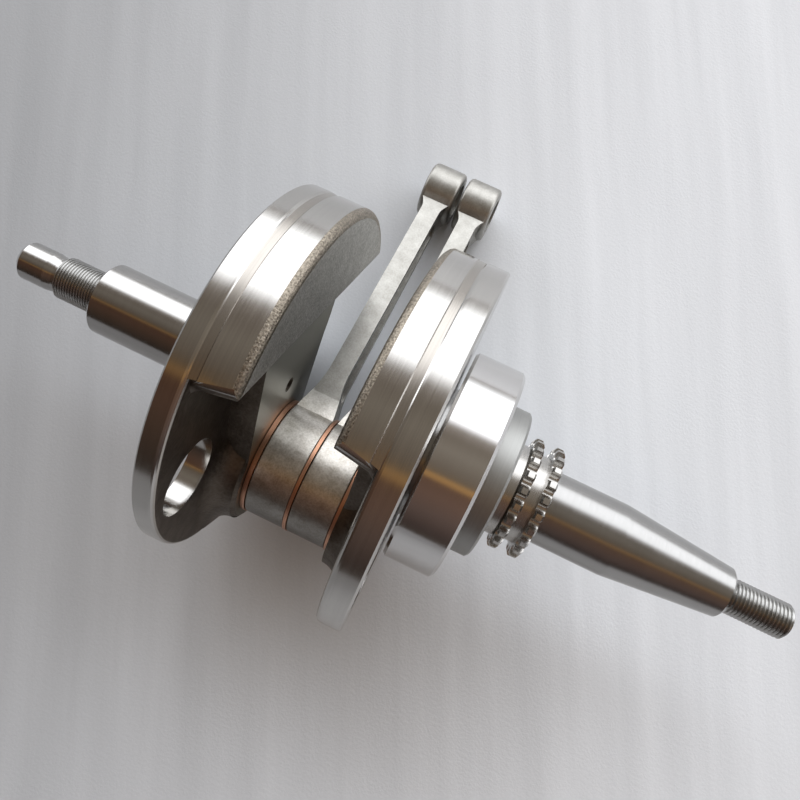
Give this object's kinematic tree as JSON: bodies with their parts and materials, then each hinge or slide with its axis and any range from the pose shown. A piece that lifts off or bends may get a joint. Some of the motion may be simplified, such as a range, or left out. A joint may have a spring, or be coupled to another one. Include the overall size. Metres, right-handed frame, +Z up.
{
  "type": "built-up v-twin crankshaft",
  "caption": "Pressed-up crankshaft with disc webs, two side-by-side connecting rods on caged rollers, ball bearing, collar and double timing sprocket.",
  "frame": {"origin": "centre of the main ball bearing, on the crank axis", "axes": "+X along the crank axis towards the tapered end, +Z up as the crank lies with its rims and the rods' small ends on a table"},
  "size_m": [0.2756, 0.1793, 0.1248],
  "materials": {
    "crank_steel": "ground and turned steel, forged inside faces",
    "rod_steel": "shot-peened forged steel",
    "pin_steel": "ground",
    "bearing_steel": "lapped bearing steel",
    "cage_steel": "pressed steel",
    "copper": "copper-plated thrust washer",
    "collar_steel": "matt fine-turned steel",
    "sprocket_steel": "machined steel"
  },
  "bodies": {
    "crank": {"left_crank_half": "crank_steel", "right_crank_half": "crank_steel", "crankpin": "pin_steel", "crankpin_plug": "pin_steel", "bearing_inner_ring": "bearing_steel", "shaft_collar": "collar_steel", "timing_sprocket": "sprocket_steel"},
    "left_rod": {"left_rod": "rod_steel"},
    "right_rod": {"right_rod": "rod_steel"},
    "left_roller_cage": {"left_roller_cage": "cage_steel"},
    "right_roller_cage": {"right_roller_cage": "cage_steel"},
    "left_washer": {"left_thrust_washer": "copper"},
    "centre_washer": {"centre_thrust_washer": "copper"},
    "right_washer": {"right_thrust_washer": "copper"},
    "bearing_outer_ring": {"bearing_outer_ring": "bearing_steel"},
    "bearing_cage": {"bearing_cage_left": "cage_steel", "bearing_cage_right": "cage_steel", "bearing_cage_rivets": "cage_steel"},
    "ball_1": {"bearing_ball_1": "bearing_steel"},
    "ball_2": {"bearing_ball_2": "bearing_steel"},
    "ball_3": {"bearing_ball_3": "bearing_steel"},
    "ball_4": {"bearing_ball_4": "bearing_steel"},
    "ball_5": {"bearing_ball_5": "bearing_steel"},
    "ball_6": {"bearing_ball_6": "bearing_steel"},
    "ball_7": {"bearing_ball_7": "bearing_steel"},
    "ball_8": {"bearing_ball_8": "bearing_steel"},
    "ball_9": {"bearing_ball_9": "bearing_steel"},
    "left_roller_1": {"left_roller_1": "bearing_steel"},
    "left_roller_2": {"left_roller_2": "bearing_steel"},
    "left_roller_3": {"left_roller_3": "bearing_steel"},
    "left_roller_4": {"left_roller_4": "bearing_steel"},
    "left_roller_5": {"left_roller_5": "bearing_steel"},
    "left_roller_6": {"left_roller_6": "bearing_steel"},
    "left_roller_7": {"left_roller_7": "bearing_steel"},
    "left_roller_8": {"left_roller_8": "bearing_steel"},
    "left_roller_9": {"left_roller_9": "bearing_steel"},
    "left_roller_10": {"left_roller_10": "bearing_steel"},
    "left_roller_11": {"left_roller_11": "bearing_steel"},
    "left_roller_12": {"left_roller_12": "bearing_steel"},
    "left_roller_13": {"left_roller_13": "bearing_steel"},
    "left_roller_14": {"left_roller_14": "bearing_steel"},
    "left_roller_15": {"left_roller_15": "bearing_steel"},
    "left_roller_16": {"left_roller_16": "bearing_steel"},
    "right_roller_1": {"right_roller_1": "bearing_steel"},
    "right_roller_2": {"right_roller_2": "bearing_steel"},
    "right_roller_3": {"right_roller_3": "bearing_steel"},
    "right_roller_4": {"right_roller_4": "bearing_steel"},
    "right_roller_5": {"right_roller_5": "bearing_steel"},
    "right_roller_6": {"right_roller_6": "bearing_steel"},
    "right_roller_7": {"right_roller_7": "bearing_steel"},
    "right_roller_8": {"right_roller_8": "bearing_steel"},
    "right_roller_9": {"right_roller_9": "bearing_steel"},
    "right_roller_10": {"right_roller_10": "bearing_steel"},
    "right_roller_11": {"right_roller_11": "bearing_steel"},
    "right_roller_12": {"right_roller_12": "bearing_steel"},
    "right_roller_13": {"right_roller_13": "bearing_steel"},
    "right_roller_14": {"right_roller_14": "bearing_steel"},
    "right_roller_15": {"right_roller_15": "bearing_steel"},
    "right_roller_16": {"right_roller_16": "bearing_steel"}
  },
  "joints": [
    {"name": "left_rod_swing", "type": "hinge", "parent": "crank", "child": "left_rod", "pos_m": [0, -0.02334, -0.02334], "axis": [1, 0, 0], "continuous": true},
    {"name": "right_rod_swing", "type": "hinge", "parent": "crank", "child": "right_rod", "pos_m": [0, -0.02334, -0.02334], "axis": [1, 0, 0], "continuous": true},
    {"name": "left_roller_cage_spin", "type": "hinge", "parent": "crank", "child": "left_roller_cage", "pos_m": [0, -0.02334, -0.02334], "axis": [1, 0, 0], "continuous": true},
    {"name": "right_roller_cage_spin", "type": "hinge", "parent": "crank", "child": "right_roller_cage", "pos_m": [0, -0.02334, -0.02334], "axis": [1, 0, 0], "continuous": true},
    {"name": "left_washer_spin", "type": "hinge", "parent": "crank", "child": "left_washer", "pos_m": [0, -0.02334, -0.02334], "axis": [1, 0, 0], "continuous": true},
    {"name": "centre_washer_spin", "type": "hinge", "parent": "crank", "child": "centre_washer", "pos_m": [0, -0.02334, -0.02334], "axis": [1, 0, 0], "continuous": true},
    {"name": "right_washer_spin", "type": "hinge", "parent": "crank", "child": "right_washer", "pos_m": [0, -0.02334, -0.02334], "axis": [1, 0, 0], "continuous": true},
    {"name": "main_bearing_spin", "type": "hinge", "parent": "crank", "child": "bearing_outer_ring", "pos_m": [0, 0, 0], "axis": [1, 0, 0], "continuous": true},
    {"name": "bearing_cage_spin", "type": "hinge", "parent": "crank", "child": "bearing_cage", "pos_m": [0, 0, 0], "axis": [1, 0, 0], "continuous": true},
    {"name": "ball_1_spin", "type": "hinge", "parent": "bearing_cage", "child": "ball_1", "pos_m": [0, 0.02675, 0], "axis": [1, 0, 0], "continuous": true},
    {"name": "ball_2_spin", "type": "hinge", "parent": "bearing_cage", "child": "ball_2", "pos_m": [0, 0.02049, 0.01719], "axis": [1, 0, 0], "continuous": true},
    {"name": "ball_3_spin", "type": "hinge", "parent": "bearing_cage", "child": "ball_3", "pos_m": [0, 0.00464, 0.02634], "axis": [1, 0, 0], "continuous": true},
    {"name": "ball_4_spin", "type": "hinge", "parent": "bearing_cage", "child": "ball_4", "pos_m": [0, -0.01337, 0.02317], "axis": [1, 0, 0], "continuous": true},
    {"name": "ball_5_spin", "type": "hinge", "parent": "bearing_cage", "child": "ball_5", "pos_m": [0, -0.02514, 0.00915], "axis": [1, 0, 0], "continuous": true},
    {"name": "ball_6_spin", "type": "hinge", "parent": "bearing_cage", "child": "ball_6", "pos_m": [0, -0.02514, -0.00915], "axis": [1, 0, 0], "continuous": true},
    {"name": "ball_7_spin", "type": "hinge", "parent": "bearing_cage", "child": "ball_7", "pos_m": [0, -0.01337, -0.02317], "axis": [1, 0, 0], "continuous": true},
    {"name": "ball_8_spin", "type": "hinge", "parent": "bearing_cage", "child": "ball_8", "pos_m": [0, 0.00464, -0.02634], "axis": [1, 0, 0], "continuous": true},
    {"name": "ball_9_spin", "type": "hinge", "parent": "bearing_cage", "child": "ball_9", "pos_m": [0, 0.02049, -0.01719], "axis": [1, 0, 0], "continuous": true},
    {"name": "left_roller_1_spin", "type": "hinge", "parent": "left_roller_cage", "child": "left_roller_1", "pos_m": [0, -0.00683, -0.02334], "axis": [1, 0, 0], "continuous": true},
    {"name": "left_roller_2_spin", "type": "hinge", "parent": "left_roller_cage", "child": "left_roller_2", "pos_m": [0, -0.00809, -0.01702], "axis": [1, 0, 0], "continuous": true},
    {"name": "left_roller_3_spin", "type": "hinge", "parent": "left_roller_cage", "child": "left_roller_3", "pos_m": [0, -0.01167, -0.01167], "axis": [1, 0, 0], "continuous": true},
    {"name": "left_roller_4_spin", "type": "hinge", "parent": "left_roller_cage", "child": "left_roller_4", "pos_m": [0, -0.01702, -0.00809], "axis": [1, 0, 0], "continuous": true},
    {"name": "left_roller_5_spin", "type": "hinge", "parent": "left_roller_cage", "child": "left_roller_5", "pos_m": [0, -0.02334, -0.00683], "axis": [1, 0, 0], "continuous": true},
    {"name": "left_roller_6_spin", "type": "hinge", "parent": "left_roller_cage", "child": "left_roller_6", "pos_m": [0, -0.02965, -0.00809], "axis": [1, 0, 0], "continuous": true},
    {"name": "left_roller_7_spin", "type": "hinge", "parent": "left_roller_cage", "child": "left_roller_7", "pos_m": [0, -0.035, -0.01167], "axis": [1, 0, 0], "continuous": true},
    {"name": "left_roller_8_spin", "type": "hinge", "parent": "left_roller_cage", "child": "left_roller_8", "pos_m": [0, -0.03858, -0.01702], "axis": [1, 0, 0], "continuous": true},
    {"name": "left_roller_9_spin", "type": "hinge", "parent": "left_roller_cage", "child": "left_roller_9", "pos_m": [0, -0.03984, -0.02334], "axis": [1, 0, 0], "continuous": true},
    {"name": "left_roller_10_spin", "type": "hinge", "parent": "left_roller_cage", "child": "left_roller_10", "pos_m": [0, -0.03858, -0.02965], "axis": [1, 0, 0], "continuous": true},
    {"name": "left_roller_11_spin", "type": "hinge", "parent": "left_roller_cage", "child": "left_roller_11", "pos_m": [0, -0.035, -0.035], "axis": [1, 0, 0], "continuous": true},
    {"name": "left_roller_12_spin", "type": "hinge", "parent": "left_roller_cage", "child": "left_roller_12", "pos_m": [0, -0.02965, -0.03858], "axis": [1, 0, 0], "continuous": true},
    {"name": "left_roller_13_spin", "type": "hinge", "parent": "left_roller_cage", "child": "left_roller_13", "pos_m": [0, -0.02334, -0.03984], "axis": [1, 0, 0], "continuous": true},
    {"name": "left_roller_14_spin", "type": "hinge", "parent": "left_roller_cage", "child": "left_roller_14", "pos_m": [0, -0.01702, -0.03858], "axis": [1, 0, 0], "continuous": true},
    {"name": "left_roller_15_spin", "type": "hinge", "parent": "left_roller_cage", "child": "left_roller_15", "pos_m": [0, -0.01167, -0.035], "axis": [1, 0, 0], "continuous": true},
    {"name": "left_roller_16_spin", "type": "hinge", "parent": "left_roller_cage", "child": "left_roller_16", "pos_m": [0, -0.00809, -0.02965], "axis": [1, 0, 0], "continuous": true},
    {"name": "right_roller_1_spin", "type": "hinge", "parent": "right_roller_cage", "child": "right_roller_1", "pos_m": [0, -0.00683, -0.02334], "axis": [1, 0, 0], "continuous": true},
    {"name": "right_roller_2_spin", "type": "hinge", "parent": "right_roller_cage", "child": "right_roller_2", "pos_m": [0, -0.00809, -0.01702], "axis": [1, 0, 0], "continuous": true},
    {"name": "right_roller_3_spin", "type": "hinge", "parent": "right_roller_cage", "child": "right_roller_3", "pos_m": [0, -0.01167, -0.01167], "axis": [1, 0, 0], "continuous": true},
    {"name": "right_roller_4_spin", "type": "hinge", "parent": "right_roller_cage", "child": "right_roller_4", "pos_m": [0, -0.01702, -0.00809], "axis": [1, 0, 0], "continuous": true},
    {"name": "right_roller_5_spin", "type": "hinge", "parent": "right_roller_cage", "child": "right_roller_5", "pos_m": [0, -0.02334, -0.00683], "axis": [1, 0, 0], "continuous": true},
    {"name": "right_roller_6_spin", "type": "hinge", "parent": "right_roller_cage", "child": "right_roller_6", "pos_m": [0, -0.02965, -0.00809], "axis": [1, 0, 0], "continuous": true},
    {"name": "right_roller_7_spin", "type": "hinge", "parent": "right_roller_cage", "child": "right_roller_7", "pos_m": [0, -0.035, -0.01167], "axis": [1, 0, 0], "continuous": true},
    {"name": "right_roller_8_spin", "type": "hinge", "parent": "right_roller_cage", "child": "right_roller_8", "pos_m": [0, -0.03858, -0.01702], "axis": [1, 0, 0], "continuous": true},
    {"name": "right_roller_9_spin", "type": "hinge", "parent": "right_roller_cage", "child": "right_roller_9", "pos_m": [0, -0.03984, -0.02334], "axis": [1, 0, 0], "continuous": true},
    {"name": "right_roller_10_spin", "type": "hinge", "parent": "right_roller_cage", "child": "right_roller_10", "pos_m": [0, -0.03858, -0.02965], "axis": [1, 0, 0], "continuous": true},
    {"name": "right_roller_11_spin", "type": "hinge", "parent": "right_roller_cage", "child": "right_roller_11", "pos_m": [0, -0.035, -0.035], "axis": [1, 0, 0], "continuous": true},
    {"name": "right_roller_12_spin", "type": "hinge", "parent": "right_roller_cage", "child": "right_roller_12", "pos_m": [0, -0.02965, -0.03858], "axis": [1, 0, 0], "continuous": true},
    {"name": "right_roller_13_spin", "type": "hinge", "parent": "right_roller_cage", "child": "right_roller_13", "pos_m": [0, -0.02334, -0.03984], "axis": [1, 0, 0], "continuous": true},
    {"name": "right_roller_14_spin", "type": "hinge", "parent": "right_roller_cage", "child": "right_roller_14", "pos_m": [0, -0.01702, -0.03858], "axis": [1, 0, 0], "continuous": true},
    {"name": "right_roller_15_spin", "type": "hinge", "parent": "right_roller_cage", "child": "right_roller_15", "pos_m": [0, -0.01167, -0.035], "axis": [1, 0, 0], "continuous": true},
    {"name": "right_roller_16_spin", "type": "hinge", "parent": "right_roller_cage", "child": "right_roller_16", "pos_m": [0, -0.00809, -0.02965], "axis": [1, 0, 0], "continuous": true}
  ],
  "couplings": [
    {"joint": "left_roller_cage_spin", "follows": "left_rod_swing", "ratio": 0.5449},
    {"joint": "right_roller_cage_spin", "follows": "right_rod_swing", "ratio": 0.5449},
    {"joint": "bearing_cage_spin", "follows": "main_bearing_spin", "ratio": 0.6039},
    {"joint": "ball_1_spin", "follows": "main_bearing_spin", "ratio": 2.3035},
    {"joint": "ball_2_spin", "follows": "main_bearing_spin", "ratio": 2.3035},
    {"joint": "ball_3_spin", "follows": "main_bearing_spin", "ratio": 2.3035},
    {"joint": "ball_4_spin", "follows": "main_bearing_spin", "ratio": 2.3035},
    {"joint": "ball_5_spin", "follows": "main_bearing_spin", "ratio": 2.3035},
    {"joint": "ball_6_spin", "follows": "main_bearing_spin", "ratio": 2.3035},
    {"joint": "ball_7_spin", "follows": "main_bearing_spin", "ratio": 2.3035},
    {"joint": "ball_8_spin", "follows": "main_bearing_spin", "ratio": 2.3035},
    {"joint": "ball_9_spin", "follows": "main_bearing_spin", "ratio": 2.3035},
    {"joint": "left_roller_1_spin", "follows": "left_rod_swing", "ratio": 5.5227},
    {"joint": "left_roller_2_spin", "follows": "left_rod_swing", "ratio": 5.5227},
    {"joint": "left_roller_3_spin", "follows": "left_rod_swing", "ratio": 5.5227},
    {"joint": "left_roller_4_spin", "follows": "left_rod_swing", "ratio": 5.5227},
    {"joint": "left_roller_5_spin", "follows": "left_rod_swing", "ratio": 5.5227},
    {"joint": "left_roller_6_spin", "follows": "left_rod_swing", "ratio": 5.5227},
    {"joint": "left_roller_7_spin", "follows": "left_rod_swing", "ratio": 5.5227},
    {"joint": "left_roller_8_spin", "follows": "left_rod_swing", "ratio": 5.5227},
    {"joint": "left_roller_9_spin", "follows": "left_rod_swing", "ratio": 5.5227},
    {"joint": "left_roller_10_spin", "follows": "left_rod_swing", "ratio": 5.5227},
    {"joint": "left_roller_11_spin", "follows": "left_rod_swing", "ratio": 5.5227},
    {"joint": "left_roller_12_spin", "follows": "left_rod_swing", "ratio": 5.5227},
    {"joint": "left_roller_13_spin", "follows": "left_rod_swing", "ratio": 5.5227},
    {"joint": "left_roller_14_spin", "follows": "left_rod_swing", "ratio": 5.5227},
    {"joint": "left_roller_15_spin", "follows": "left_rod_swing", "ratio": 5.5227},
    {"joint": "left_roller_16_spin", "follows": "left_rod_swing", "ratio": 5.5227},
    {"joint": "right_roller_1_spin", "follows": "right_rod_swing", "ratio": 5.5227},
    {"joint": "right_roller_2_spin", "follows": "right_rod_swing", "ratio": 5.5227},
    {"joint": "right_roller_3_spin", "follows": "right_rod_swing", "ratio": 5.5227},
    {"joint": "right_roller_4_spin", "follows": "right_rod_swing", "ratio": 5.5227},
    {"joint": "right_roller_5_spin", "follows": "right_rod_swing", "ratio": 5.5227},
    {"joint": "right_roller_6_spin", "follows": "right_rod_swing", "ratio": 5.5227},
    {"joint": "right_roller_7_spin", "follows": "right_rod_swing", "ratio": 5.5227},
    {"joint": "right_roller_8_spin", "follows": "right_rod_swing", "ratio": 5.5227},
    {"joint": "right_roller_9_spin", "follows": "right_rod_swing", "ratio": 5.5227},
    {"joint": "right_roller_10_spin", "follows": "right_rod_swing", "ratio": 5.5227},
    {"joint": "right_roller_11_spin", "follows": "right_rod_swing", "ratio": 5.5227},
    {"joint": "right_roller_12_spin", "follows": "right_rod_swing", "ratio": 5.5227},
    {"joint": "right_roller_13_spin", "follows": "right_rod_swing", "ratio": 5.5227},
    {"joint": "right_roller_14_spin", "follows": "right_rod_swing", "ratio": 5.5227},
    {"joint": "right_roller_15_spin", "follows": "right_rod_swing", "ratio": 5.5227},
    {"joint": "right_roller_16_spin", "follows": "right_rod_swing", "ratio": 5.5227}
  ]
}
